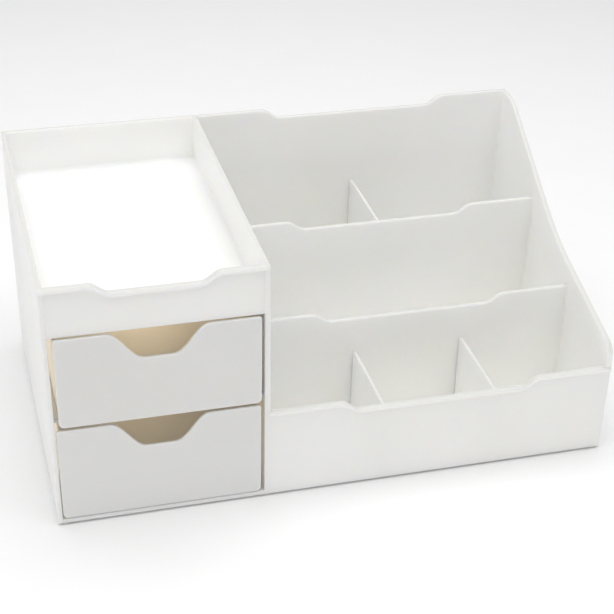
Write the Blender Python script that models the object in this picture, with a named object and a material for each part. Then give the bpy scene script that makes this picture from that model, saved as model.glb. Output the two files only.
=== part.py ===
"""Desk organizer with a top tray, two drawers and stepped compartments.

Metres, +Z up. The origin is on the surface that the organizer stands on, under the middle of its
overall box. -Y is the front, where the drawers open, and the drawer cabinet is on the left (-X).

Walls, floors, steps and dividers are separate pieces that meet with a small seam between them.
"""
import math

import bmesh
import bpy
from mathutils import Matrix, Vector

# Overall sizes
BODY_WIDTH = 0.300
BODY_DEPTH = 0.182          # from the front faces of the walls to the back
BODY_HEIGHT = 0.139
WALL = 0.0025
FLOOR = 0.0024
SEAM = 0.0003               # between fixed pieces that touch

# Feet
FOOT_HEIGHT = 0.0012
FOOT_WIDTH = 0.006
FOOT_LENGTH = 0.012
FOOT_INSET = 0.0005

# Rolled lips along the front of the tray and of the front wall
LIP_OVERHANG = 0.001
LIP_HEIGHT = 0.0025
LIP_LAP = 0.0002            # how far a lip stops short of, or passes, the face that it grows from

# Dips in the tops of the walls
DIP_DEPTH = 0.0052
DIP_RUN = 0.0105            # length of the curve down to the bottom of a dip
TRAY_DIP_WIDTH = 0.064
STEP_DIP_WIDTH = 0.110

# Drawer cabinet and tray
CABINET_WIDTH = 0.1109
TRAY_DEPTH = 0.025
TRAY_FLOOR = 0.002
TRAY_PANEL = 0.0022
TRAY_PANEL_RECESS = 0.0008
TRAY_PANEL_DROP = 0.0004    # the panel's lower edge below the tray's floor

# Drawers
DRAWER_SPLIT_Z = 0.0591     # middle of the gap between the two drawer fronts
DRAWER_SPLIT_GAP = 0.0018
DRAWER_TOP_GAP = 0.0014
DRAWER_SIDE_GAP = 0.0018
DRAWER_SIDE_SHIFT = 0.0004  # how far each drawer lies off centre in its loose fit
DRAWER_FRONT = 0.0022
DRAWER_FRONT_LIFT = 0.0003  # the lower drawer's front above the underside of its shell
DRAWER_SHELL = 0.0018
DRAWER_SHELL_INSET = 0.0006
DRAWER_RIM_DROP = 0.0026    # the shell's rim below the top of the drawer's front
DRAWER_BACK_GAP = 0.0075
DRAWER_CORNER = 0.0028
NOTCH_WIDTH = 0.051
NOTCH_DEPTH = 0.0153
NOTCH_RUN = 0.0185

# Runners under the upper drawer
RUNNER_HEIGHT = 0.002
RUNNER_WIDTH = 0.004
RUNNER_LIFT = 0.0015        # the runner's underside above the top of the gap between the fronts
RUNNER_START = 0.004
RUNNER_END_GAP = 0.003

# Steps and dividers
STEP_WALL = 0.0023
FRONT_WALL_TOP = 0.0535
FRONT_STEP_Y = 0.060        # middle of the step's wall behind the front face
FRONT_STEP_TOP = 0.0715
REAR_STEP_Y = 0.119
REAR_STEP_TOP = 0.0975
DIVIDER = 0.0018
DIVIDER_DROP = 0.0015       # a divider's top below the dip of the wall in front of it

# Sloping top of the right side wall, front to back
SLOPE_FRONT_Z = 0.0656
SLOPE_KNEE_Y = 0.0836
SLOPE_KNEE_Z = 0.0886
SLOPE_TOP_FLAT = 0.0157
SLOPE_FRONT_RADIUS = 0.008
SLOPE_KNEE_RADIUS = 0.140
SLOPE_TOP_RADIUS = 0.025
BACK_CORNER_RADIUS = 0.002

# Worked out from the sizes above
LEFT = -BODY_WIDTH / 2
RIGHT = BODY_WIDTH / 2
FRONT = (LIP_OVERHANG - BODY_DEPTH) / 2
BACK = FRONT + BODY_DEPTH
FLOOR_TOP = FOOT_HEIGHT + FLOOR
CABINET_LEFT = LEFT + WALL
CABINET_RIGHT = LEFT + CABINET_WIDTH - WALL
STEPS_LEFT = LEFT + CABINET_WIDTH
STEPS_RIGHT = RIGHT - WALL
BACK_INNER = BACK - WALL
TRAY_FLOOR_TOP = BODY_HEIGHT - TRAY_DEPTH
TRAY_FLOOR_UNDER = TRAY_FLOOR_TOP - TRAY_FLOOR
TRAY_PANEL_FRONT = FRONT + TRAY_PANEL_RECESS
TRAY_LIP_BACK = TRAY_PANEL_FRONT + TRAY_PANEL + LIP_LAP

ARC_STEPS = 6
WAVE_STEPS = 7

WHITE_PLASTIC = ("white_moulded_plastic", (0.86, 0.86, 0.84), 0.42)
DRAWER_PLASTIC = ("drawer_moulded_plastic", (0.86, 0.85, 0.82), 0.45)
FOOT_PLASTIC = ("foot_plastic", (0.78, 0.78, 0.76), 0.60)


def clear_scene():
    """Remove every object of the scene that is open."""
    for thing in list(bpy.data.objects):
        bpy.data.objects.remove(thing, do_unlink=True)


def new_collection(name):
    """Make a collection and link it to the scene."""
    collection = bpy.data.collections.new(name)
    bpy.context.scene.collection.children.link(collection)
    return collection


def new_material(name, colour, roughness):
    """Make a Principled material of one colour."""
    material = bpy.data.materials.new(name)
    material.use_nodes = True
    shader = material.node_tree.nodes["Principled BSDF"]
    shader.inputs["Base Color"].default_value = (*colour, 1.0)
    shader.inputs["Roughness"].default_value = roughness
    shader.inputs["Metallic"].default_value = 0.0
    return material


def smooth_mesh(mesh):
    """Shade a mesh smooth where it is round and flat where it has edges."""
    mesh.shade_smooth()
    mesh.set_sharp_from_angle(angle=math.radians(30))


def box(name, low, high, collection):
    """Make a box object between its lowest and highest corners."""
    low = Vector(low)
    high = Vector(high)
    mesh = bpy.data.meshes.new(name)
    shape = bmesh.new()
    bmesh.ops.create_cube(shape, size=1.0, matrix=Matrix.Diagonal((*(high - low), 1.0)))
    shape.to_mesh(mesh)
    shape.free()
    thing = bpy.data.objects.new(name, mesh)
    thing.location = (low + high) / 2
    collection.objects.link(thing)
    return thing


def round_corners(corners):
    """Turn (u, v, radius) corners into an outline whose corners are arcs."""
    outline = []
    for index, (u, v, radius) in enumerate(corners):
        here = Vector((u, v))
        if radius == 0:
            outline.append(here)
            continue
        before = Vector(corners[index - 1][:2]) - here
        after = Vector(corners[(index + 1) % len(corners)][:2]) - here
        before.normalize()
        after.normalize()
        half = before.angle(after) / 2
        centre = here + (before + after).normalized() * (radius / math.sin(half))
        start = here + before * (radius / math.tan(half)) - centre
        turn = start.angle_signed(here + after * (radius / math.tan(half)) - centre)
        for step in range(ARC_STEPS + 1):
            spin = Matrix.Rotation(-turn * step / ARC_STEPS, 2)
            outline.append(centre + spin @ start)
    return outline


def ease(share):
    """A soft S from 0 to 1."""
    return (1 - math.cos(math.pi * share)) / 2


def dipped_edge(start, end, top, middle, width, run, depth):
    """Points of a top edge from start to end, with one dip round its middle."""
    points = [(start, top)]
    for step in range(WAVE_STEPS + 1):
        share = step / WAVE_STEPS
        points.append((middle - width / 2 + run * share, top - depth * ease(share)))
    for step in range(WAVE_STEPS + 1):
        share = step / WAVE_STEPS
        points.append((middle + width / 2 - run * (1 - share), top - depth * ease(1 - share)))
    points.append((end, top))
    return points


def plate(name, outline, face, start, end, collection):
    """Make a flat plate from an outline.

    face "XZ" stands the plate across the organizer, from y = start to y = end.
    face "YZ" stands it from front to back, from x = start to x = end.
    """
    curve = bpy.data.curves.new(name, "CURVE")
    curve.dimensions = "2D"
    curve.fill_mode = "BOTH"
    curve.extrude = (end - start) / 2
    spline = curve.splines.new("POLY")
    spline.points.add(len(outline) - 1)
    for point, (u, v) in zip(spline.points, outline):
        point.co = (u, v, 0.0, 1.0)
    spline.use_cyclic_u = True
    flat = bpy.data.objects.new(name + "_outline", curve)
    middle = (start + end) / 2
    if face == "XZ":
        axes = Matrix(((1, 0, 0), (0, 0, -1), (0, 1, 0)))
        place = Vector((0, middle, 0))
    else:
        axes = Matrix(((0, 0, 1), (1, 0, 0), (0, 1, 0)))
        place = Vector((middle, 0, 0))
    flat.matrix_world = Matrix.Translation(place) @ axes.to_4x4()
    collection.objects.link(flat)
    bpy.context.view_layer.update()
    solid = bpy.data.meshes.new_from_object(flat.evaluated_get(bpy.context.evaluated_depsgraph_get()))
    shape = bmesh.new()
    shape.from_mesh(solid)
    bmesh.ops.remove_doubles(shape, verts=shape.verts, dist=0.00001)
    bmesh.ops.dissolve_limit(
        shape, angle_limit=math.radians(0.1), verts=shape.verts, edges=shape.edges
    )
    bmesh.ops.recalc_face_normals(shape, faces=shape.faces)
    shape.to_mesh(solid)
    shape.free()
    thing = bpy.data.objects.new(name, solid)
    thing.matrix_world = flat.matrix_world
    collection.objects.link(thing)
    bpy.data.objects.remove(flat, do_unlink=True)
    return thing


def combine(thing, other, operation):
    """Add a Boolean modifier that joins the other object on, or cuts it out."""
    modifier = thing.modifiers.new(operation.title() + "_" + other.name, "BOOLEAN")
    modifier.operation = operation
    modifier.solver = "EXACT"
    modifier.object = other
    other.hide_render = True
    other.display_type = "WIRE"


def finish_piece(thing, material):
    """Give a piece its material and its shading."""
    thing.data.materials.append(material)
    smooth_mesh(thing.data)


def make_floors(pieces, white):
    """The floor under the drawers and the floor of the compartments."""
    for name, left, right, front in (
        ("base_plate", CABINET_LEFT, CABINET_RIGHT, FRONT),
        ("compartment_floor", STEPS_LEFT, STEPS_RIGHT, FRONT + WALL + SEAM),
    ):
        low = (left + SEAM, front, FOOT_HEIGHT)
        high = (right - SEAM, BACK_INNER - SEAM, FLOOR_TOP)
        finish_piece(box(name, low, high, pieces), white)


def make_cabinet_walls(pieces, white):
    """The left side wall and the centre wall, each stepped down where the tray's lip passes."""
    step_y = TRAY_LIP_BACK + SEAM
    step_z = BODY_HEIGHT - LIP_HEIGHT - SEAM
    for name, left, back in (
        ("left_side_wall", LEFT, BACK),
        ("centre_wall", CABINET_RIGHT, BACK_INNER - SEAM),
    ):
        outline = [
            (FRONT, FOOT_HEIGHT),
            (back, FOOT_HEIGHT),
            (back, BODY_HEIGHT),
            (step_y, BODY_HEIGHT),
            (step_y, step_z),
            (FRONT, step_z),
        ]
        finish_piece(plate(name, outline, "YZ", left, left + WALL, pieces), white)


def make_right_wall(pieces, white):
    """The right side wall, whose top slopes down to the front in two runs."""
    corners = [
        (FRONT, FOOT_HEIGHT, 0),
        (BACK, FOOT_HEIGHT, 0),
        (BACK, BODY_HEIGHT, BACK_CORNER_RADIUS),
        (BACK - SLOPE_TOP_FLAT, BODY_HEIGHT, SLOPE_TOP_RADIUS),
        (FRONT + SLOPE_KNEE_Y, SLOPE_KNEE_Z, SLOPE_KNEE_RADIUS),
        (FRONT, SLOPE_FRONT_Z, SLOPE_FRONT_RADIUS),
    ]
    wall = plate("right_side_wall", round_corners(corners), "YZ", STEPS_RIGHT, RIGHT, pieces)
    finish_piece(wall, white)


def make_back_wall(pieces, white):
    """The back wall, with a dip behind the compartments."""
    left = CABINET_LEFT + SEAM
    right = STEPS_RIGHT - SEAM
    middle = (STEPS_LEFT + STEPS_RIGHT) / 2
    top = dipped_edge(left, right, BODY_HEIGHT, middle, STEP_DIP_WIDTH, DIP_RUN, DIP_DEPTH)
    outline = [(right, FOOT_HEIGHT), (left, FOOT_HEIGHT)] + top
    finish_piece(plate("back_wall", outline, "XZ", BACK_INNER, BACK, pieces), white)


def make_step_walls(pieces, white):
    """The two walls between the stepped compartments."""
    left = STEPS_LEFT + SEAM
    right = STEPS_RIGHT - SEAM
    bottom = FLOOR_TOP + SEAM
    middle = (STEPS_LEFT + STEPS_RIGHT) / 2
    for name, step_y, height in (
        ("front_step_wall", FRONT_STEP_Y, FRONT_STEP_TOP),
        ("rear_step_wall", REAR_STEP_Y, REAR_STEP_TOP),
    ):
        top = dipped_edge(left, right, height, middle, STEP_DIP_WIDTH, DIP_RUN, DIP_DEPTH)
        outline = [(right, bottom), (left, bottom)] + top
        start = FRONT + step_y - STEP_WALL / 2
        finish_piece(plate(name, outline, "XZ", start, start + STEP_WALL, pieces), white)


def make_lip(name, left, right, back, height, middle, width, cutters):
    """A lip that follows a dipped edge and stands out in front of it."""
    top = dipped_edge(left, right, height, middle, width, DIP_RUN, DIP_DEPTH)
    under = [(u, v - LIP_HEIGHT) for u, v in reversed(top)]
    return plate(name, top + under, "XZ", FRONT - LIP_OVERHANG, back, cutters)


def make_front_wall(pieces, cutters, white):
    """The low wall in front of the compartments, with its rolled lip."""
    left = STEPS_LEFT + SEAM
    right = STEPS_RIGHT - SEAM
    middle = (STEPS_LEFT + STEPS_RIGHT) / 2
    top = dipped_edge(left, right, FRONT_WALL_TOP, middle, STEP_DIP_WIDTH, DIP_RUN, DIP_DEPTH)
    outline = [(right, FOOT_HEIGHT), (left, FOOT_HEIGHT)] + top
    wall = plate("front_wall", outline, "XZ", FRONT, FRONT + WALL, pieces)
    lip = make_lip(
        "front_wall_lip", left + LIP_LAP, right - LIP_LAP, FRONT + WALL / 2,
        FRONT_WALL_TOP - LIP_LAP, middle, STEP_DIP_WIDTH, cutters,
    )
    combine(wall, lip, "UNION")
    finish_piece(wall, white)


def make_tray(pieces, cutters, white):
    """The tray on top of the cabinet: its floor, its front panel and its rolled lip."""
    left = CABINET_LEFT + SEAM
    right = CABINET_RIGHT - SEAM
    middle = (CABINET_LEFT + CABINET_RIGHT) / 2
    floor = box(
        "top_tray",
        (left + SEAM, TRAY_PANEL_FRONT + TRAY_PANEL / 2, TRAY_FLOOR_UNDER),
        (right - SEAM, BACK_INNER - SEAM, TRAY_FLOOR_TOP),
        pieces,
    )
    under_lip = BODY_HEIGHT - LIP_HEIGHT / 2
    top = dipped_edge(left, right, under_lip, middle, TRAY_DIP_WIDTH, DIP_RUN, DIP_DEPTH)
    panel_bottom = TRAY_FLOOR_UNDER - TRAY_PANEL_DROP
    outline = [(right, panel_bottom), (left, panel_bottom)] + top
    panel_back = TRAY_PANEL_FRONT + TRAY_PANEL
    panel = plate("tray_panel", outline, "XZ", TRAY_PANEL_FRONT, panel_back, cutters)
    lip = make_lip(
        "tray_lip", LEFT, STEPS_LEFT, TRAY_LIP_BACK, BODY_HEIGHT, middle, TRAY_DIP_WIDTH, cutters
    )
    combine(floor, panel, "UNION")
    combine(floor, lip, "UNION")
    finish_piece(floor, white)


def make_dividers(pieces, white):
    """One divider in the rear compartment and two in the front one."""
    width = STEPS_RIGHT - STEPS_LEFT
    rear_front = FRONT + REAR_STEP_Y + STEP_WALL / 2
    front_back = FRONT + FRONT_STEP_Y - STEP_WALL / 2
    rear = (rear_front, BACK_INNER, REAR_STEP_TOP)
    front = (FRONT + WALL, front_back, FRONT_WALL_TOP)
    for name, share, (start, end, wall_top) in (
        ("rear_divider", 1 / 2, rear),
        ("front_divider_left", 1 / 3, front),
        ("front_divider_right", 2 / 3, front),
    ):
        middle = STEPS_LEFT + width * share
        low = (middle - DIVIDER / 2, start + SEAM, FLOOR_TOP + SEAM)
        high = (middle + DIVIDER / 2, end - SEAM, wall_top - DIP_DEPTH - DIVIDER_DROP)
        finish_piece(box(name, low, high, pieces), white)


def make_runners(pieces, white):
    """The two ledges that the upper drawer slides on."""
    bottom = DRAWER_SPLIT_Z + DRAWER_SPLIT_GAP / 2 + RUNNER_LIFT
    start = FRONT + RUNNER_START
    end = BACK_INNER - RUNNER_END_GAP
    for name, left in (
        ("upper_runner_left", CABINET_LEFT + SEAM),
        ("upper_runner_right", CABINET_RIGHT - SEAM - RUNNER_WIDTH),
    ):
        low = (left, start, bottom)
        high = (left + RUNNER_WIDTH, end, bottom + RUNNER_HEIGHT)
        finish_piece(box(name, low, high, pieces), white)


def make_feet(pieces, rubber):
    """Six low feet under the ends of the three walls that run front to back."""
    for side, left in (
        ("left", LEFT + FOOT_INSET),
        ("centre", (CABINET_RIGHT + STEPS_LEFT - FOOT_WIDTH) / 2),
        ("right", RIGHT - FOOT_INSET - FOOT_WIDTH),
    ):
        for end, front in (("front", FRONT + FOOT_INSET), ("back", BACK - FOOT_INSET - FOOT_LENGTH)):
            low = (left, front, 0.0)
            high = (left + FOOT_WIDTH, front + FOOT_LENGTH, FOOT_HEIGHT - SEAM)
            finish_piece(box("foot_" + end + "_" + side, low, high, pieces), rubber)


def drawer_front_outline(left, right, bottom, top):
    """A drawer front with rounded bottom corners and a finger notch in its top."""
    middle = (CABINET_LEFT + CABINET_RIGHT) / 2
    corners = [(right, bottom, DRAWER_CORNER), (left, bottom, DRAWER_CORNER)]
    lower = round_corners([(left, top, 0), (right, top, 0)] + corners)[2:]
    return lower + dipped_edge(left, right, top, middle, NOTCH_WIDTH, NOTCH_RUN, NOTCH_DEPTH)


def make_drawer(name, shift, bottom, top, shell_bottom, pieces, cutters, plastic):
    """A drawer: an open shell behind a front with a finger notch."""
    left = CABINET_LEFT + DRAWER_SIDE_GAP + shift
    right = CABINET_RIGHT - DRAWER_SIDE_GAP + shift
    shell_left = left + DRAWER_SHELL_INSET
    shell_right = right - DRAWER_SHELL_INSET
    shell_back = BACK_INNER - DRAWER_BACK_GAP
    shell_top = top - DRAWER_RIM_DROP
    joint_y = FRONT + DRAWER_FRONT / 2
    shell = box(name, (shell_left, joint_y, shell_bottom), (shell_right, shell_back, shell_top), pieces)
    pocket_low = (shell_left + DRAWER_SHELL, joint_y - DRAWER_FRONT, shell_bottom + DRAWER_SHELL)
    pocket_high = (shell_right - DRAWER_SHELL, shell_back - DRAWER_SHELL, top)
    combine(shell, box(name + "_pocket", pocket_low, pocket_high, cutters), "DIFFERENCE")
    outline = drawer_front_outline(left, right, bottom, top)
    front = plate(name + "_front", outline, "XZ", FRONT, FRONT + DRAWER_FRONT, cutters)
    combine(shell, front, "UNION")
    finish_piece(shell, plastic)


def make_drawers(pieces, cutters, plastic):
    """The upper drawer on its runners and the lower drawer on the base plate."""
    upper_bottom = DRAWER_SPLIT_Z + DRAWER_SPLIT_GAP / 2
    upper_top = TRAY_FLOOR_UNDER - DRAWER_TOP_GAP
    upper_shell = upper_bottom + RUNNER_LIFT + RUNNER_HEIGHT + SEAM
    make_drawer(
        "upper_drawer", DRAWER_SIDE_SHIFT, upper_bottom, upper_top, upper_shell,
        pieces, cutters, plastic,
    )
    lower_shell = FLOOR_TOP + SEAM
    lower_top = DRAWER_SPLIT_Z - DRAWER_SPLIT_GAP / 2
    make_drawer(
        "lower_drawer", -DRAWER_SIDE_SHIFT, lower_shell + DRAWER_FRONT_LIFT, lower_top, lower_shell,
        pieces, cutters, plastic,
    )


def main():
    """Build the organizer."""
    clear_scene()
    pieces = new_collection("desk_organizer")
    cutters = new_collection("cutters")
    white = new_material(*WHITE_PLASTIC)
    make_floors(pieces, white)
    make_cabinet_walls(pieces, white)
    make_right_wall(pieces, white)
    make_back_wall(pieces, white)
    make_step_walls(pieces, white)
    make_front_wall(pieces, cutters, white)
    make_tray(pieces, cutters, white)
    make_dividers(pieces, white)
    make_runners(pieces, white)
    make_feet(pieces, new_material(*FOOT_PLASTIC))
    make_drawers(pieces, cutters, new_material(*DRAWER_PLASTIC))


main()
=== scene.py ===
"""A white desk organizer in moulded plastic: its looks, built round a fixed CAD frame.

Metres, +Z up. The organizer stands at the origin with its front to -Y, and its drawer cabinet is on
the left (-X). Each moulding is shaped from a block, as it would be by hand, and takes its place from
the frame's own pieces.
"""
from __future__ import annotations

import logging
import math
from contextlib import contextmanager
from dataclasses import dataclass
from enum import Enum
from typing import Any, Callable, Iterator

import bmesh
import bpy
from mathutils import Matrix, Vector

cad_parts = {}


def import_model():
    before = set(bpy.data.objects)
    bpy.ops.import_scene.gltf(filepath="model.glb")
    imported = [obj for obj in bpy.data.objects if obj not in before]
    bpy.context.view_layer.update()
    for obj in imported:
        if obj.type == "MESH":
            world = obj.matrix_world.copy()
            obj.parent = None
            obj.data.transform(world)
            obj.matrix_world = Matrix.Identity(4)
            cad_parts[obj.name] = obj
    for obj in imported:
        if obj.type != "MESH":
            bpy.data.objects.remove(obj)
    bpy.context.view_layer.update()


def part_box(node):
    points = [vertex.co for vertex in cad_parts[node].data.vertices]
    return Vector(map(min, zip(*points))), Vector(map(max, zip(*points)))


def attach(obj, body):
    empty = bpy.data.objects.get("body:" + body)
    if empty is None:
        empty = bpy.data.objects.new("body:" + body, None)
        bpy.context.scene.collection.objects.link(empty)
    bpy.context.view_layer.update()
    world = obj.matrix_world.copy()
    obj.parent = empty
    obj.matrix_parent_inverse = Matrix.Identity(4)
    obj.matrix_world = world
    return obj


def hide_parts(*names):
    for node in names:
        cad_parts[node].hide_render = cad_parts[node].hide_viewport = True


log = logging.getLogger("desk_organizer")

BODY = "organizer_body"
LAP = 0.001  # how far one block runs into the next before they are merged
SAME_POINT = 0.000004  # points that are closer than this are one
SAME_PLANE = math.radians(0.2)  # faces that turn less than this are one flat face
STANDS_OUT = math.radians(50)  # least turn of an edge that gets rounded on a drafted moulding
SQUARE_EDGE = math.radians(60)  # least turn of an edge between two square faces
INNER_CORNER = math.radians(-60)  # most turn of an inner corner that gets filled
LEVEL = 0.9  # least Z of the normal of a face that lies level


# ---------------------------------------------------------------------------------------------
# Modelling by hand: a block is added, then cut, pulled and rounded in edit mode
# ---------------------------------------------------------------------------------------------


class Part(Enum):
    """Which elements of a mesh an edit works on."""

    EDGES = "EDGE"
    FACES = "FACE"


def make_active(thing: bpy.types.Object) -> None:
    """Makes one object the only selected one, and the active one."""
    bpy.ops.object.select_all(action="DESELECT")
    thing.select_set(True)
    bpy.context.view_layer.objects.active = thing


def add_block(name: str, low: Vector, high: Vector) -> bpy.types.Object:
    """Adds a block between two corners, with its place in its mesh.

    Args:
        name: The new object's name.
        low: Its lowest corner.
        high: Its highest corner.

    Returns:
        The block, at the origin, unturned and unscaled.
    """
    low, high = Vector(low), Vector(high)
    bpy.ops.object.select_all(action="DESELECT")
    bpy.ops.mesh.primitive_cube_add(size=1.0, location=(low + high) / 2, scale=high - low)
    block = bpy.context.object
    block.name = block.data.name = name
    bpy.ops.object.transform_apply(location=True, rotation=True, scale=True)
    return block


@contextmanager
def editing(thing: bpy.types.Object, part: Part = Part.EDGES) -> Iterator[None]:
    """Opens an object in edit mode with nothing selected, and closes it again.

    Args:
        thing: The object to shape.
        part: What is going to be picked.

    Returns:
        Nothing; the object is in edit mode inside the with block.
    """
    make_active(thing)
    bpy.ops.object.mode_set(mode="EDIT")
    bpy.ops.mesh.select_mode(type=part.value)
    bpy.ops.mesh.select_all(action="DESELECT")
    try:
        yield
    finally:
        bpy.ops.object.mode_set(mode="OBJECT")


def pick_faces(thing: bpy.types.Object, wanted: Callable[[Vector, Vector], bool]) -> None:
    """Selects the faces whose middle and normal pass a test, and nothing else.

    Args:
        thing: The object that is open in edit mode.
        wanted: Takes a face's middle and its normal.
    """
    bpy.ops.mesh.select_mode(type="FACE")
    bpy.ops.mesh.select_all(action="DESELECT")
    mesh = bmesh.from_edit_mesh(thing.data)
    picked = [f for f in mesh.faces if wanted(f.calc_center_median(), f.normal)]
    for face in picked:
        face.select_set(True)
    bmesh.update_edit_mesh(thing.data)


def pick_edges(thing: bpy.types.Object, wanted: Callable[[Vector, Vector, float], bool]) -> None:
    """Selects the edges that pass a test, and nothing else.

    Args:
        thing: The object that is open in edit mode.
        wanted: Takes an edge's two ends and its turn in radians, which is above 0 where the edge
            stands out and below 0 in an inner corner.
    """
    bpy.ops.mesh.select_mode(type="EDGE")
    bpy.ops.mesh.select_all(action="DESELECT")
    mesh = bmesh.from_edit_mesh(thing.data)
    picked = [
        e
        for e in mesh.edges
        if len(e.link_faces) == 2 and wanted(e.verts[0].co, e.verts[1].co, e.calc_face_angle_signed())
    ]
    for edge in picked:
        edge.select_set(True)
    bmesh.update_edit_mesh(thing.data)


def near(value: float, target: float, reach: float = 0.00002) -> bool:
    """Says whether a value is within reach of a target."""
    return abs(value - target) <= reach


def cut_across(thing: bpy.types.Object, axis: int, places: list[float]) -> None:
    """Cuts an object's faces with planes square to one axis, and removes nothing.

    Args:
        thing: The object that is open in edit mode.
        axis: 0, 1 or 2 for X, Y or Z.
        places: Where each plane stands on that axis.
    """
    for place in places:
        at, along = Vector((0, 0, 0)), Vector((0, 0, 0))
        at[axis], along[axis] = place, 1.0
        bpy.ops.mesh.select_all(action="SELECT")
        bpy.ops.mesh.bisect(plane_co=at, plane_no=along)
    bpy.ops.mesh.select_all(action="DESELECT")


def round_picked(radius: float, steps: int) -> None:
    """Rounds the picked edges, with the same distance along both of their faces."""
    bpy.ops.mesh.bevel(
        offset=radius, offset_type="OFFSET", segments=steps, profile=0.5,
        affect="EDGES", clamp_overlap=False, loop_slide=True,
    )


@dataclass(frozen=True)
class Dip:
    """A dip in a rim that runs along X, with a soft S-curve at both of its ends.

    Attributes:
        middle: X of its middle.
        width: From where the rim starts to fall to where it is level again.
        run: Length of each S-curve along X.
        depth: How far the rim falls.
        steps: Straight runs in each S-curve.
    """

    middle: float
    width: float
    run: float
    depth: float
    steps: int = 9

    def press(self, thing: bpy.types.Object, levels: list[float]) -> None:
        """Presses the dip into each face of a plate that lies at one of the given heights.

        Args:
            thing: A plate that stands across the organizer.
            levels: Heights of the faces, the lowest first.
        """
        shares = [i / self.steps for i in range(self.steps + 1)]
        stations = [
            (self.middle + side * (self.width / 2 - self.run * share), share)
            for side in (-1, 1)
            for share in shares
        ]
        with editing(thing):
            cut_across(thing, 0, [x for x, share in stations])
            for x, share in stations:
                fall = self.depth * (1 - math.cos(math.pi * share)) / 2
                for level in levels:
                    pick_edges(
                        thing, lambda a, b, turn: all(near(p.x, x) and near(p.z, level) for p in (a, b))
                    )
                    bpy.ops.transform.translate(value=(0, 0, -fall))
        tidy_faces(thing)


def lean(thing: bpy.types.Object, side: Vector, amount: float) -> None:
    """Cuts one upright side of a plate to its draft: nothing off its foot, and most off its top.

    Args:
        thing: The plate, made thicker on that side by the amount.
        side: The side's outward direction.
        amount: How much comes off at the top.
    """
    side = Vector(side)
    heights = [v.co.z for v in thing.data.vertices]
    foot, top = min(heights), max(heights)
    reach = max(v.co.dot(side) for v in thing.data.vertices)
    with editing(thing, Part.FACES):
        bpy.ops.mesh.select_all(action="SELECT")
        bpy.ops.mesh.bisect(
            plane_co=side * reach + Vector((0, 0, foot)),
            plane_no=(side * (top - foot) + Vector((0, 0, amount))).normalized(),
            use_fill=True, clear_outer=True, threshold=0.000001,
        )


def use_modifier(thing: bpy.types.Object, kind: str, **settings: Any) -> None:
    """Adds a modifier, sets it and applies it."""
    make_active(thing)
    bpy.ops.object.modifier_add(type=kind)
    modifier = thing.modifiers[-1]
    for name, value in settings.items():
        setattr(modifier, name, value)
    bpy.ops.object.modifier_apply(modifier=modifier.name)


def merge(thing: bpy.types.Object, others: list[bpy.types.Object]) -> None:
    """Joins other solids to an object, and removes them."""
    for other in others:
        use_modifier(thing, "BOOLEAN", operation="UNION", solver="EXACT", object=other)
        bpy.data.objects.remove(other, do_unlink=True)


def tidy_faces(thing: bpy.types.Object) -> None:
    """Merges doubled points and joins the flat faces that cuts have split."""
    with editing(thing):
        bpy.ops.mesh.select_all(action="SELECT")
        bpy.ops.mesh.remove_doubles(threshold=SAME_POINT)
        bpy.ops.mesh.dissolve_limited(angle_limit=SAME_PLANE)


def smooth(thing: bpy.types.Object, angle: float = 35.0) -> None:
    """Shades a finished piece: flat faces stay flat and the rounded edges between them blend."""
    make_active(thing)
    bpy.ops.object.shade_smooth_by_angle(angle=math.radians(angle))
    use_modifier(thing, "WEIGHTED_NORMAL", keep_sharp=True, weight=60)


# ---------------------------------------------------------------------------------------------
# Finishes
# ---------------------------------------------------------------------------------------------


def linear(code: str) -> tuple[float, float, float, float]:
    """Turns an sRGB colour written as #rrggbb into the linear colour that a shader reads."""
    parts = [int(code[i : i + 2], 16) / 255 for i in (1, 3, 5)]
    return (*[p / 12.92 if p <= 0.04045 else ((p + 0.055) / 1.055) ** 2.4 for p in parts], 1.0)


def add_node(
    tree: bpy.types.NodeTree, kind: str, inputs: dict[Any, Any] | None = None, **settings: Any
) -> bpy.types.Node:
    """Adds a node, with its settings, its values and its links.

    Args:
        tree: The node tree.
        kind: The node's type, such as "ShaderNodeBump".
        inputs: A value or another node's output socket for each input, by name or number.
        settings: The node's own properties.

    Returns:
        The new node.
    """
    node = tree.nodes.new(kind)
    for name, value in settings.items():
        setattr(node, name, value)
    for name, value in (inputs or {}).items():
        if isinstance(value, bpy.types.NodeSocket):
            tree.links.new(value, node.inputs[name])
        else:
            node.inputs[name].default_value = value
    return node


def mix(tree: bpy.types.NodeTree, share: Any, first: Any, second: Any) -> bpy.types.NodeSocket:
    """Mixes two colours by a share, and gives the mixed colour's socket."""
    return add_node(tree, "ShaderNodeMix", {0: share, 6: first, 7: second}, data_type="RGBA").outputs[2]


def maths(
    tree: bpy.types.NodeTree, operation: str, first: Any, second: Any = 0.0
) -> bpy.types.NodeSocket:
    """Works out one step of arithmetic on each point, and gives the result's socket."""
    return add_node(tree, "ShaderNodeMath", {0: first, 1: second}, operation=operation).outputs[0]


def new_material(name: str) -> bpy.types.Material:
    """Adds a material with an empty node tree."""
    material = bpy.data.materials.new(name)
    material.use_nodes = True
    material.node_tree.nodes.clear()
    return material


def per_mm(size_mm: float) -> float:
    """Gives the scale of a pattern on metres whose features are this many millimetres apart."""
    return 1000.0 / size_mm


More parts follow.
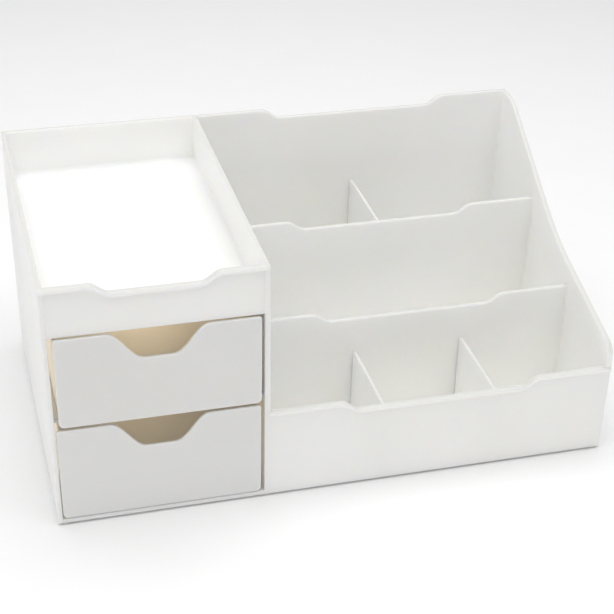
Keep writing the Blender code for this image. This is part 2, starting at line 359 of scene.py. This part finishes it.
@dataclass(frozen=True)
class MouldedPlastic:
    """Nearly opaque white plastic, injection moulded, with the fine texture of its tool.

    The tool's texture gives a satin sheen with no clear reflections. The flow of the melt leaves
    very soft changes of tone, and thin walls pass some warm light where they close a space off.

    Attributes:
        name: The material's name.
        colour: Its main colour.
        tone: The colour that the melt drifts to in places.
        rim: The colour of the painted shade on rims that face up, or "" where they have the walls' own.
            A
        rim gets more light than the walls, and this painted shade keeps it as quiet as they are. It
        isn't a known finish.
        floors: Height and greatest X of each upward face that isn't a rim.
        floor_reach: How far above and below a floor nothing counts as a rim.
        flow_mm: Distance between the soft changes of tone.
        sheen_mm: Distance between the slightly duller and glossier spots.
        roughness: The mean roughness.
        grain_mm: Distance between the pits of the texture, coarse enough to show.
        grain_depth: Depth of the pits in metres.
        glow: Share of the light that goes into the plastic before it comes out again.
        glow_reach: How far red, green and blue light get in it, against each other.
        glow_scale: How far that is in metres.
    """

    name: str
    colour: str
    tone: str
    rim: str = ""
    floors: tuple[tuple[float, float], ...] = ()
    floor_reach: float = 0.004
    flow_mm: float = 70.0
    sheen_mm: float = 9.0
    roughness: float = 0.38
    grain_mm: float = 0.45
    grain_depth: float = 0.000006
    glow: float = 0.9
    glow_reach: tuple[float, float, float] = (1.0, 0.93, 0.82)
    glow_scale: float = 0.003

    def make(self) -> bpy.types.Material:
        """Builds the material."""
        material = new_material(self.name)
        tree = material.node_tree
        spot = add_node(tree, "ShaderNodeTexCoord")
        place = spot.outputs["Object"]
        flow = add_node(
            tree, "ShaderNodeTexNoise",
            {"Vector": place, "Scale": per_mm(self.flow_mm), "Detail": 3.0, "Roughness": 0.45},
        )
        drift = add_node(
            tree, "ShaderNodeMapRange",
            {"Value": flow.outputs["Fac"], "From Min": 0.35, "From Max": 0.65},
            interpolation_type="SMOOTHSTEP",
        )
        colour = mix(tree, drift.outputs["Result"], linear(self.colour), linear(self.tone))
        # Painted shade: up-facing rims are mixed to a darker colour so that they look no brighter than
        # the walls.
        if self.rim:
            colour = mix(tree, self.rim_painted_shade_share(tree, spot), colour, linear(self.rim))
        sheen = add_node(
            tree, "ShaderNodeTexNoise",
            {"Vector": place, "Scale": per_mm(self.sheen_mm), "Detail": 4.0, "Roughness": 0.6},
        )
        rough = add_node(
            tree, "ShaderNodeMapRange",
            {
                "Value": sheen.outputs["Fac"], "From Min": 0.3, "From Max": 0.7,
                "To Min": self.roughness - 0.04, "To Max": self.roughness + 0.05,
            },
        )
        pits = add_node(
            tree, "ShaderNodeTexNoise",
            {"Vector": place, "Scale": per_mm(self.grain_mm), "Detail": 2.0, "Roughness": 0.7},
        )
        bump = add_node(
            tree, "ShaderNodeBump",
            {"Height": pits.outputs["Fac"], "Strength": 0.5, "Distance": self.grain_depth},
        )
        shader = add_node(
            tree, "ShaderNodeBsdfPrincipled",
            {
                "Base Color": colour, "Roughness": rough.outputs["Result"],
                "Normal": bump.outputs["Normal"], "IOR": 1.53, "Metallic": 0.0,
                "Subsurface Weight": self.glow, "Subsurface Radius": self.glow_reach,
                "Subsurface Scale": self.glow_scale,
            },
        )
        add_node(tree, "ShaderNodeOutputMaterial", {"Surface": shader.outputs["BSDF"]})
        return material

    def rim_painted_shade_share(self, tree: bpy.types.NodeTree, spot: bpy.types.Node) -> bpy.types.NodeSocket:
        """Finds where the painted rim shade goes: what faces up and isn't a floor.

        Args:
            tree: The material's node tree.
            spot: Its texture coordinates.

        Returns:
            A socket that is 1 on the rims, where the painted shade goes, and 0 elsewhere.
        """
        where = add_node(tree, "ShaderNodeSeparateXYZ", {"Vector": spot.outputs["Object"]}).outputs
        facing = add_node(tree, "ShaderNodeSeparateXYZ", {"Vector": spot.outputs["Normal"]}).outputs["Z"]
        share = add_node(
            tree, "ShaderNodeMapRange", {"Value": facing, "From Min": 0.2, "From Max": 0.8}
        ).outputs["Result"]
        for floor, limit in self.floors:
            away = maths(tree, "ABSOLUTE", maths(tree, "SUBTRACT", where["Z"], floor))
            clear = maths(
                tree, "MAXIMUM",
                maths(tree, "GREATER_THAN", away, self.floor_reach),
                maths(tree, "GREATER_THAN", where["X"], limit),
            )
            share = maths(tree, "MULTIPLY", share, clear)
        return share


@dataclass(frozen=True)
class SoftFootPlastic:
    """Soft thermoplastic rubber of the feet: matt, slightly grey, moulded.

    Attributes:
        name: The material's name.
        colour: Its main colour.
        tone: Where it has picked up a little dust.
    """

    name: str = "moulded_tpe_feet"
    colour: str = "#D9D8D3"
    tone: str = "#C4C2BA"

    def make(self) -> bpy.types.Material:
        """Builds the material."""
        material = new_material(self.name)
        tree = material.node_tree
        place = add_node(tree, "ShaderNodeTexCoord").outputs["Object"]
        dust = add_node(
            tree, "ShaderNodeTexNoise", {"Vector": place, "Scale": per_mm(2.5), "Detail": 4.0}
        )
        colour = mix(tree, dust.outputs["Fac"], linear(self.colour), linear(self.tone))
        bump = add_node(
            tree, "ShaderNodeBump", {"Height": dust.outputs["Fac"], "Strength": 0.4, "Distance": 0.00002}
        )
        shader = add_node(
            tree, "ShaderNodeBsdfPrincipled",
            {"Base Color": colour, "Normal": bump.outputs["Normal"], "Roughness": 0.72, "IOR": 1.5},
        )
        add_node(tree, "ShaderNodeOutputMaterial", {"Surface": shader.outputs["BSDF"]})
        return material


# ---------------------------------------------------------------------------------------------
# The organizer
# ---------------------------------------------------------------------------------------------


def report(thing: bpy.types.Object) -> None:
    """Logs a finished piece and its size in millimetres."""
    corners = [Vector(c) for c in thing.bound_box]
    size = Vector([max(c[i] for c in corners) - min(c[i] for c in corners) for i in range(3)]) * 1000
    mesh = bmesh.new()
    mesh.from_mesh(thing.data)
    open_edges = sum(1 for e in mesh.edges if len(e.link_faces) != 2)
    mesh.free()
    log.info(
        "%s: %.1f x %.1f x %.1f mm, %d faces, %d open edges",
        thing.name, *size, len(thing.data.polygons), open_edges,
    )


def wear(
    thing: bpy.types.Object, finish: bpy.types.Material, body: str, slot: str, *nodes: str
) -> None:
    """Finishes a piece: its shading, its material and its place in the frame.

    Args:
        thing: The piece.
        finish: Its material.
        body: The frame's body that it rides on.
        slot: The frame's material slot for its finish; it is not used.
        nodes: The frame's pieces that it stands for.
    """
    smooth(thing)
    thing.data.materials.clear()
    thing.data.materials.append(finish)
    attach(thing, body)
    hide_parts(*nodes)
    report(thing)


@dataclass
class BodyMoulding:
    """The white body: cabinet shell, tray and stepped compartments, moulded in one.

    Attributes:
        draft: How much thicker an inner wall is at its foot.
        inner_radius: Radius of the inner corners of the tray and the compartments.
        rim_radius: Radius of the rims.
        lip_height: Height of the rolled lips.
        lip_depth: Front to back of the rolled lips.
        lip_radius: Radius of the lips' long edges.
        proud: How far the lips stand out of the walls that they run over.
        dip_run: Length of the S-curve into a dip.
        dip_depth: Depth of the dips.
        step_dip: Width of the dips in the compartments' walls.
        tray_dip: Width of the dip in the tray's front.
        panel: Thickness of the tray's front panel.
        recess: How far that panel stands back from the walls' front ends.
        tray_depth: The walls' top above the tray's floor.
        tray_floor: Thickness of the tray's floor.
        panel_drop: The panel's lower edge below the tray's floor.
        ground_inset: The floor's side edges inside the walls' outer faces.
        slope_knee: Y from the front, and Z, of the bend in the right wall's slope.
        slope_front: Height of the right wall at its front.
        slope_flat: Length of the right wall's level top at the back.
        slope_reach: Half the length of the curve at the knee, at the level top and at the front.
        replaced: The frame's pieces that the moulding stands for.
    """

    draft: float = 0.0011
    inner_radius: float = 0.0016
    rim_radius: float = 0.0007
    lip_height: float = 0.0025
    lip_depth: float = 0.0037
    lip_radius: float = 0.0009
    proud: float = 0.00006
    dip_run: float = 0.0105
    dip_depth: float = 0.0052
    step_dip: float = 0.110
    tray_dip: float = 0.064
    panel: float = 0.0022
    recess: float = 0.0008
    tray_depth: float = 0.025
    tray_floor: float = 0.002
    panel_drop: float = 0.0024
    ground_inset: float = 0.0008
    slope_knee: tuple[float, float] = (0.0836, 0.0886)
    slope_front: float = 0.0656
    slope_flat: float = 0.0157
    slope_reach: tuple[float, float, float] = (0.0197, 0.0070, 0.0061)
    replaced: tuple[str, ...] = (
        "left_side_wall", "centre_wall", "right_side_wall", "back_wall", "front_wall",
        "front_step_wall", "rear_step_wall", "compartment_floor", "base_plate", "top_tray",
    )

    def __post_init__(self) -> None:
        """Reads the places that the walls take in the frame."""
        self.left, self.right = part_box("left_side_wall"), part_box("right_side_wall")
        self.centre, self.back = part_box("centre_wall"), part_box("back_wall")
        self.front = self.left[0].y
        self.top = self.left[1].z
        self.foot = self.left[0].z
        self.floor_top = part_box("base_plate")[1].z
        self.back_inner = self.back[0].y
        self.tray_top = self.top - self.tray_depth
        self.steps_middle = (self.centre[1].x + self.right[0].x) / 2
        self.tray_middle = (self.left[1].x + self.centre[0].x) / 2

    def step_dip_at(self) -> Dip:
        """The dip that the compartments' walls and the back wall share."""
        return Dip(self.steps_middle, self.step_dip, self.dip_run, self.dip_depth)

    def tray_dip_at(self) -> Dip:
        """The dip in the tray's front."""
        return Dip(self.tray_middle, self.tray_dip, self.dip_run, self.dip_depth)

    def side_walls(self) -> list[bpy.types.Object]:
        """The left wall and the centre wall."""
        left = add_block("left", self.left[0], self.left[1])
        low, high = self.centre[0].copy(), self.centre[1].copy()
        high.y = self.back_inner + LAP
        high.x += self.draft
        centre = add_block("centre", low, high)
        lean(centre, Vector((1, 0, 0)), self.draft)
        return [left, centre]

    def right_wall(self) -> bpy.types.Object:
        """The right wall, whose top slopes down to the front in two runs."""
        low, high = self.right
        wall = add_block("right", low - Vector((self.draft, 0, 0)), high)
        knee_y, knee_z = low.y + self.slope_knee[0], self.slope_knee[1]
        flat_y = high.y - self.slope_flat
        with editing(wall):
            cut_across(wall, 1, [knee_y, flat_y])
            for y, drop in ((low.y, self.slope_front - high.z), (knee_y, knee_z - high.z)):
                pick_edges(
                    wall, lambda a, b, turn: all(near(p.z, high.z) and near(p.y, y) for p in (a, b))
                )
                bpy.ops.transform.translate(value=(0, 0, drop))
            for y, z, reach, steps in (
                (knee_y, knee_z, self.slope_reach[0], 12),
                (flat_y, high.z, self.slope_reach[1], 8),
                (low.y, self.slope_front, self.slope_reach[2], 8),
            ):
                pick_edges(
                    wall, lambda a, b, turn: all(near(p.z, z) and near(p.y, y) for p in (a, b))
                )
                round_picked(reach, steps)
        lean(wall, Vector((-1, 0, 0)), self.draft)
        return wall

    def across_walls(self) -> list[bpy.types.Object]:
        """The back wall, the two step walls and the front wall, each with its dip."""
        walls = []
        for name, leaning in (
            ("back_wall", (-1,)),
            ("front_step_wall", (-1, 1)),
            ("rear_step_wall", (-1, 1)),
            ("front_wall", ()),
        ):
            low, high = (corner.copy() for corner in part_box(name))
            if name == "back_wall":
                low.x, high.x, low.z = self.left[0].x, self.right[1].x, self.foot
            else:
                low.x, high.x = self.centre[1].x - LAP, self.right[0].x + LAP
                low.z = self.floor_top - LAP
            if name == "front_wall":
                low.y, low.z = self.front, self.foot
                high.z -= self.lip_height / 2
            low.y -= self.draft if -1 in leaning else 0
            high.y += self.draft if 1 in leaning else 0
            wall = add_block(name + "_plate", low, high)
            self.step_dip_at().press(wall, [high.z])
            for way in leaning:
                lean(wall, Vector((0, way, 0)), self.draft)
            walls.append(wall)
        return walls

    def floors(self) -> list[bpy.types.Object]:
        """The floor of the cabinet and the compartments, and the tray's floor."""
        ground = add_block(
            "ground",
            (self.left[0].x + self.ground_inset, self.front, self.foot),
            (self.right[1].x - self.ground_inset, self.back_inner + LAP, self.floor_top),
        )
        tray = add_block(
            "tray_floor",
            (self.left[1].x - LAP, self.front + self.recess + LAP, self.tray_top - self.tray_floor),
            (self.centre[0].x + LAP, self.back_inner + LAP, self.tray_top),
        )
        return [ground, tray]

    def tray_front(self) -> bpy.types.Object:
        """The tray's front panel, set back a little between the walls."""
        level = self.top - self.lip_height / 2
        panel = add_block(
            "tray_panel",
            (self.left[1].x - LAP, self.front + self.recess, self.tray_top - self.panel_drop),
            (self.centre[0].x + LAP, self.front + self.recess + self.panel, level),
        )
        self.tray_dip_at().press(panel, [level])
        return panel

    def lip(
        self, name: str, left: float, right: float, level: float, dip: Dip, round_left: bool
    ) -> bpy.types.Object:
        """A rolled lip that follows a dipped edge.

        Args:
            name: Its name.
            left: X of its left end.
            right: X of its right end.
            level: Height of its top outside the dip.
            dip: The dip that it follows.
            round_left: Whether its left end is rounded too.

        Returns:
            The rounded bar.
        """
        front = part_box("top_tray")[0].y
        bar = add_block(
            name, (left, front, level - self.lip_height), (right, front + self.lip_depth, level)
        )
        dip.press(bar, [level - self.lip_height, level])
        with editing(bar):
            pick_edges(
                bar, lambda a, b, turn: turn > SQUARE_EDGE and (round_left or max(a.x, b.x) > left)
            )
            round_picked(self.lip_radius, 4)
        return bar

    def build(self) -> bpy.types.Object:
        """Models the whole moulding."""
        body, *rest = self.side_walls()
        merge(body, [*rest, self.right_wall(), *self.across_walls(), *self.floors(), self.tray_front()])
        body.name = body.data.name = "body_moulding"
        tidy_faces(body)
        self.fill_corners(body)
        self.soften_rims(body)
        merge(
            body,
            [
                self.lip(
                    "tray_lip", self.left[0].x - self.proud, self.centre[1].x + self.proud,
                    self.top + self.proud, self.tray_dip_at(), True,
                ),
                self.lip(
                    "front_lip", self.centre[1].x - LAP / 2, self.right[1].x + self.proud,
                    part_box("front_wall")[1].z, self.step_dip_at(), False,
                ),
            ],
        )
        tidy_faces(body)
        return body

    def fill_corners(self, body: bpy.types.Object) -> None:
        """Rounds the inner corners of the tray and of the compartments."""
        slack = 0.0001
        with editing(body):
            pick_edges(
                body,
                lambda a, b, turn: turn < INNER_CORNER
                and min(a.x, b.x) > self.centre[1].x - slack * 2
                and min(a.z, b.z) > self.floor_top - slack,
            )
            round_picked(self.inner_radius, 4)
            pick_edges(
                body,
                lambda a, b, turn: turn < INNER_CORNER
                and max(a.x, b.x) < self.centre[0].x + slack * 2
                and min(a.z, b.z) > self.tray_top - slack
                and min(a.y, b.y) > self.front + self.recess + self.panel - slack,
            )
            round_picked(self.inner_radius, 4)

    def soften_rims(self, body: bpy.types.Object) -> None:
        """Rounds every edge that stands out."""
        with editing(body):
            pick_edges(body, lambda a, b, turn: turn > STANDS_OUT)
            round_picked(self.rim_radius, 3)

    def dress(self, body: bpy.types.Object, finish: bpy.types.Material) -> None:
        """Gives the moulding its finish and its place in the frame."""
        wear(body, finish, BODY, "body_plastic", *self.replaced)


@dataclass
class Divider:
    """A thin upright plate between two compartments.

    Attributes:
        node: Its piece in the frame.
        corner: Radius of its upper corners.
        draft: How much thicker each side is at its foot.
        edge: Radius of its edges.
    """

    node: str
    corner: float = 0.0022
    draft: float = 0.0002
    edge: float = 0.0007

    def build(self) -> bpy.types.Object:
        """Models the plate."""
        low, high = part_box(self.node)
        spare = Vector((self.draft, 0, 0))
        plate = add_block(self.node + "_plate", low - spare, high + spare)
        for way in (-1, 1):
            lean(plate, Vector((way, 0, 0)), self.draft)
        with editing(plate):
            pick_edges(
                plate,
                lambda a, b, turn: near(a.y, b.y) and near(a.z, high.z) and near(b.z, high.z),
            )
            round_picked(self.corner, 5)
            pick_edges(plate, lambda a, b, turn: turn > STANDS_OUT)
            round_picked(self.edge, 3)
        return plate

    def dress(self, plate: bpy.types.Object, finish: bpy.types.Material) -> None:
        """Gives the plate its finish and its place in the frame."""
        wear(plate, finish, BODY, "body_plastic", self.node)


@dataclass
class Drawer:
    """A drawer: an open shell behind a front with a finger notch, moulded in one.

    Attributes:
        node: Its piece in the frame, which is its body's name too.
        front_lift: The front's lower edge above the drawer's lowest point.
        shell_lift: The shell's underside above that point.
        spread: How much further the front reaches to the left and to the right.
        front: Thickness of the front.
        shell: Thickness of the shell.
        inset: How far the shell stands in from the front's sides.
        rim_drop: The shell's rim below the front's top.
        lower_corner: Radius of the front's lower corners.
        upper_corner: Radius of the front's upper corners.
        edge: Radius of the front's edges.
        back_corner: Outer radius of the shell's upright back corners.
        floor_radius: Radius between the shell's floor and its walls.
        rim: Radius of the shell's rim.
        notch_width: Width of the finger notch.
        notch_run: Length of each of its S-curves.
        notch_depth: Its depth.
    """

    node: str
    front_lift: float
    shell_lift: float
    spread: tuple[float, float] = (0.0, 0.0)
    front: float = 0.0022
    shell: float = 0.0018
    inset: float = 0.0006
    rim_drop: float = 0.0026
    lower_corner: float = 0.0028
    upper_corner: float = 0.0014
    edge: float = 0.0006
    back_corner: float = 0.0045
    floor_radius: float = 0.0020
    rim: float = 0.0005
    notch_width: float = 0.051
    notch_run: float = 0.0185
    notch_depth: float = 0.0153

    def front_plate(self, low: Vector, high: Vector) -> bpy.types.Object:
        """The front, with its notch and its rounded corners."""
        bottom = low.z + self.front_lift
        plate = add_block(
            self.node + "_front",
            (low.x - self.spread[0], low.y, bottom),
            (high.x + self.spread[1], low.y + self.front, high.z),
        )
        notch = Dip((low.x + high.x) / 2, self.notch_width, self.notch_run, self.notch_depth, steps=14)
        notch.press(plate, [high.z])
        with editing(plate):
            for level, radius, steps in ((bottom, self.lower_corner, 6), (high.z, self.upper_corner, 4)):
                pick_edges(
                    plate,
                    lambda a, b, turn: near(a.x, b.x)
                    and near(a.z, level)
                    and near(b.z, level)
                    and turn > SQUARE_EDGE,
                )
                round_picked(radius, steps)
            pick_edges(plate, lambda a, b, turn: turn > SQUARE_EDGE)
            round_picked(self.edge, 3)
        return plate

    def open_shell(self, low: Vector, high: Vector) -> bpy.types.Object:
        """The floor, the two sides and the back."""
        left, right = low.x + self.inset, high.x - self.inset
        bottom, rim = low.z + self.shell_lift, high.z - self.rim_drop
        floor_top = bottom + self.shell
        shell = add_block(
            self.node + "_moulding", (left, low.y + self.front / 2, bottom), (right, high.y, floor_top)
        )
        inner = (left + self.shell, right - self.shell, high.y - self.shell)
        with editing(shell, Part.FACES):
            cut_across(shell, 0, [inner[0], inner[1]])
            cut_across(shell, 1, [inner[2]])
            pick_faces(
                shell,
                lambda at, way: way.z > LEVEL and (not inner[0] < at.x < inner[1] or at.y > inner[2]),
            )
            bpy.ops.mesh.extrude_region_move(TRANSFORM_OT_translate={"value": (0, 0, rim - floor_top)})
        tidy_faces(shell)
        with editing(shell):
            for y, radius in ((high.y, self.back_corner), (inner[2], self.back_corner - self.shell)):
                pick_edges(
                    shell,
                    lambda a, b, turn: near(a.x, b.x)
                    and near(a.y, y)
                    and near(b.y, y)
                    and abs(a.z - b.z) > self.shell * 2,
                )
                round_picked(radius, 6)
            pick_edges(
                shell,
                lambda a, b, turn: turn < INNER_CORNER
                and near(a.z, floor_top)
                and near(b.z, floor_top),
            )
            round_picked(self.floor_radius, 4)
            pick_edges(
                shell,
                lambda a, b, turn: turn > SQUARE_EDGE and max(a.y, b.y) > low.y + self.front,
            )
            round_picked(self.rim, 3)
        return shell

    def build(self) -> bpy.types.Object:
        """Models the drawer."""
        low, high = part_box(self.node)
        drawer = self.open_shell(low, high)
        merge(drawer, [self.front_plate(low, high)])
        tidy_faces(drawer)
        return drawer

    def dress(self, drawer: bpy.types.Object, finish: bpy.types.Material) -> None:
        """Gives the drawer its finish and its place in the frame."""
        wear(drawer, finish, self.node, "drawer_plastic", self.node)


@dataclass
class Runner:
    """A ledge inside the cabinet that the upper drawer slides on.

    Attributes:
        node: Its piece in the frame.
        lead_in: Length of the rounded lead-in at its front.
        edge: Radius of its edges.
        lap: How far it runs into the wall.
    """

    node: str
    lead_in: float = 0.0014
    edge: float = 0.0003
    lap: float = 0.0006

    def build(self) -> bpy.types.Object:
        """Models the ledge, run into the wall that carries it."""
        low, high = (corner.copy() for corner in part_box(self.node))
        if self.node.endswith("left"):
            low.x -= self.lap
        else:
            high.x += self.lap
        ledge = add_block(self.node + "_ledge", low, high)
        with editing(ledge):
            pick_edges(
                ledge, lambda a, b, turn: all(near(p.y, low.y) and near(p.z, high.z) for p in (a, b))
            )
            round_picked(self.lead_in, 4)
            pick_edges(ledge, lambda a, b, turn: turn > SQUARE_EDGE)
            round_picked(self.edge, 2)
        return ledge

    def dress(self, ledge: bpy.types.Object, finish: bpy.types.Material) -> None:
        """Gives the ledge its finish and its place in the frame."""
        wear(ledge, finish, BODY, "body_plastic", self.node)


@dataclass
class Feet:
    """Six low feet, moulded alike.

    Attributes:
        nodes: Their pieces in the frame.
        taper: How much narrower each side is where it stands.
        corner: Radius of the upright corners.
        edge: Radius of the lower edges.
        lap: How far a foot runs up into the body's underside.
    """

    nodes: tuple[str, ...] = tuple(
        f"foot_{end}_{side}" for end in ("front", "back") for side in ("left", "centre", "right")
    )
    taper: float = 0.0003
    corner: float = 0.0012
    edge: float = 0.0003
    lap: float = 0.0005

    def build(self) -> list[bpy.types.Object]:
        """Models one foot and copies it to the places of the others."""
        low, high = (corner.copy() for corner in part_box(self.nodes[0]))
        first = add_block(self.nodes[0] + "_pad", low, high + Vector((0, 0, self.lap)))
        with editing(first, Part.FACES):
            pick_faces(first, lambda at, way: way.z < -LEVEL)
            size = high - low
            bpy.ops.transform.resize(value=[1 - 2 * self.taper / size.x, 1 - 2 * self.taper / size.y, 1])
        with editing(first):
            pick_edges(first, lambda a, b, turn: abs(a.z - b.z) > (high.z - low.z) / 2)
            round_picked(self.corner, 5)
            pick_edges(first, lambda a, b, turn: near(a.z, low.z) and near(b.z, low.z))
            round_picked(self.edge, 2)
        feet = [first]
        for node in self.nodes[1:]:
            make_active(first)
            bpy.ops.object.duplicate(linked=False)
            foot = bpy.context.object
            foot.name = foot.data.name = node + "_pad"
            foot.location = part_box(node)[0] - low
            bpy.ops.object.transform_apply(location=True)
            feet.append(foot)
        return feet

    def dress(self, feet: list[bpy.types.Object], finish: bpy.types.Material) -> None:
        """Gives the feet their finish and their places in the frame."""
        for foot, node in zip(feet, self.nodes):
            wear(foot, finish, BODY, "foot_plastic", node)


# ---------------------------------------------------------------------------------------------
# The studio
# ---------------------------------------------------------------------------------------------


@dataclass
class Studio:
    """A pale floor, soft light and the camera.

    Attributes:
        camera_at: Where the camera stands.
        camera_turn: Its turn about X, Y and Z in degrees.
        lens: Its focal length on a 36 mm wide sensor.
        shift: Its shift, as a share of the picture's width.
        floor_size: Side of the floor.
        sky: Strength of the even light from all round.
        warm: Colour of the light that the walls let through to the insides of the drawers.
        cream: Colour of the light beside the left wall, where it crosses a single wall.
    """

    camera_at: tuple[float, float, float] = (-0.18701, -0.69318, 0.48292)
    camera_turn: tuple[float, float, float] = (55.462, -1.245, -14.904)
    lens: float = 86.86
    shift: tuple[float, float] = (-0.0077, 0.1667)
    floor_size: float = 12.0
    sky: float = 0.45
    warm: str = "#FFE6C0"
    cream: str = "#FFF0DA"

    def place_camera(self) -> None:
        """Adds the camera and makes it the scene's own."""
        lens = bpy.data.cameras.new("studio_camera")
        lens.lens, lens.sensor_width = self.lens, 36.0
        lens.shift_x, lens.shift_y = self.shift
        lens.clip_start, lens.clip_end = 0.01, 50.0
        camera = bpy.data.objects.new("studio_camera", lens)
        camera.location = self.camera_at
        camera.rotation_euler = [math.radians(a) for a in self.camera_turn]
        bpy.context.scene.collection.objects.link(camera)
        bpy.context.scene.camera = camera

    def lay_floor(self) -> None:
        """Lays the pale floor."""
        bpy.ops.object.select_all(action="DESELECT")
        bpy.ops.mesh.primitive_plane_add(size=self.floor_size, location=(0, 0, 0))
        floor = bpy.context.object
        floor.name = floor.data.name = "studio_floor"
        material = new_material("matt_paper_sweep")
        tree = material.node_tree
        place = add_node(tree, "ShaderNodeTexCoord").outputs["Object"]
        fibre = add_node(
            tree, "ShaderNodeTexNoise", {"Vector": place, "Scale": per_mm(40), "Detail": 3.0}
        )
        colour = mix(tree, fibre.outputs["Fac"], linear("#F8F8F8"), linear("#F5F5F5"))
        shader = add_node(tree, "ShaderNodeBsdfPrincipled", {"Base Color": colour, "Roughness": 0.9})
        add_node(tree, "ShaderNodeOutputMaterial", {"Surface": shader.outputs["BSDF"]})
        floor.data.materials.append(material)

    def light(self) -> None:
        """Lights the scene with a soft sky, a large soft lamp overhead and a fill from the left."""
        world = bpy.data.worlds.new("soft_sky")
        bpy.context.scene.world = world
        world.use_nodes = True
        background = world.node_tree.nodes["Background"]
        background.inputs["Color"].default_value = linear("#FFFFFF")
        background.inputs["Strength"].default_value = self.sky
        middle = (0.0, 0.0, 0.05)
        self.lamp("overhead", at=(0.0, -0.05, 1.15), target=middle, size=1.3, watts=11.9)
        self.lamp("left_fill", at=(-1.3, -0.2, 0.5), target=middle, size=0.9, watts=1.8)
        self.light_cabinet()
        # White walls that face each other pass light on many times, and white has to stay white.
        bpy.context.scene.cycles.diffuse_bounces = 10
        bpy.context.scene.view_settings.view_transform = "Standard"

    def light_cabinet(self) -> None:
        """Stands in for the warm light that the thin walls let into the cabinet and its gaps."""
        wall_left, wall_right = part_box("left_side_wall")[1].x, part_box("centre_wall")[0].x
        middle, drawer_right = (wall_left + wall_right) / 2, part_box("lower_drawer")[1].x
        down, across, clear = Vector((0, 0, -1)), Vector((1, 0, 0)), 0.0002
        for at, way, size, watts, colour in (
            ((middle, 0.0, 0.100), down, 0.05, 0.0112, self.warm),
            ((middle, 0.0, 0.050), down, 0.05, 0.0082, self.warm),
            ((wall_left + clear, -0.035, 0.057), across, 0.100, 0.0100, self.cream),
            ((drawer_right + clear, -0.035, 0.057), across, 0.100, 0.0040, self.warm),
        ):
            lamp = self.lamp("through_the_walls", at, Vector(at) + way, size, watts)
            lamp.data.color = linear(colour)[:3]
            lamp.visible_camera = False

    def lamp(self, name: str, at: Vector, target: Vector, size: float, watts: float) -> bpy.types.Object:
        """Hangs one square lamp that faces a target.

        Args:
            name: Its name.
            at: Where it hangs.
            target: The point that it faces.
            size: Its side.
            watts: Its power.

        Returns:
            The lamp.
        """
        light = bpy.data.lights.new(name, "AREA")
        light.shape, light.size, light.energy = "SQUARE", size, watts
        lamp = bpy.data.objects.new(name, light)
        lamp.location = at
        lamp.rotation_euler = (Vector(target) - Vector(at)).to_track_quat("-Z", "Y").to_euler()
        bpy.context.scene.collection.objects.link(lamp)
        return lamp


def main() -> None:
    """Builds the organizer and its studio."""
    logging.basicConfig(level=logging.INFO, format="%(name)s: %(message)s")
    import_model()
    body = BodyMoulding()
    tray_floor = (body.tray_top, body.centre[0].x + LAP / 2)
    ground = (body.floor_top, body.right[1].x)
    # The body's up-facing rims get #D8D8D5 as painted shade, darker than its walls.
    white = MouldedPlastic(
        "satin_moulded_polystyrene", "#F4F4F3", "#F2F2F0", rim="#D8D8D5", floors=(tray_floor, ground)
    ).make()
    drawer_white = MouldedPlastic("satin_moulded_polystyrene_drawer", "#EBEBEA", "#E9E9E7").make()
    rubber = SoftFootPlastic().make()
    for maker, finish in (
        (body, white),
        (Divider("rear_divider"), white),
        (Divider("front_divider_left"), white),
        (Divider("front_divider_right"), white),
        (Runner("upper_runner_left"), white),
        (Runner("upper_runner_right"), white),
        (Drawer("upper_drawer", front_lift=0.0, shell_lift=0.0038), drawer_white),
        (
            Drawer("lower_drawer", front_lift=0.0003, shell_lift=0.0, spread=(0.0010, 0.0004)),
            drawer_white,
        ),
        (Feet(), rubber),
    ):
        maker.dress(maker.build(), finish)
    studio = Studio()
    studio.lay_floor()
    studio.light()
    studio.place_camera()


if __name__ == "__main__":
    main()
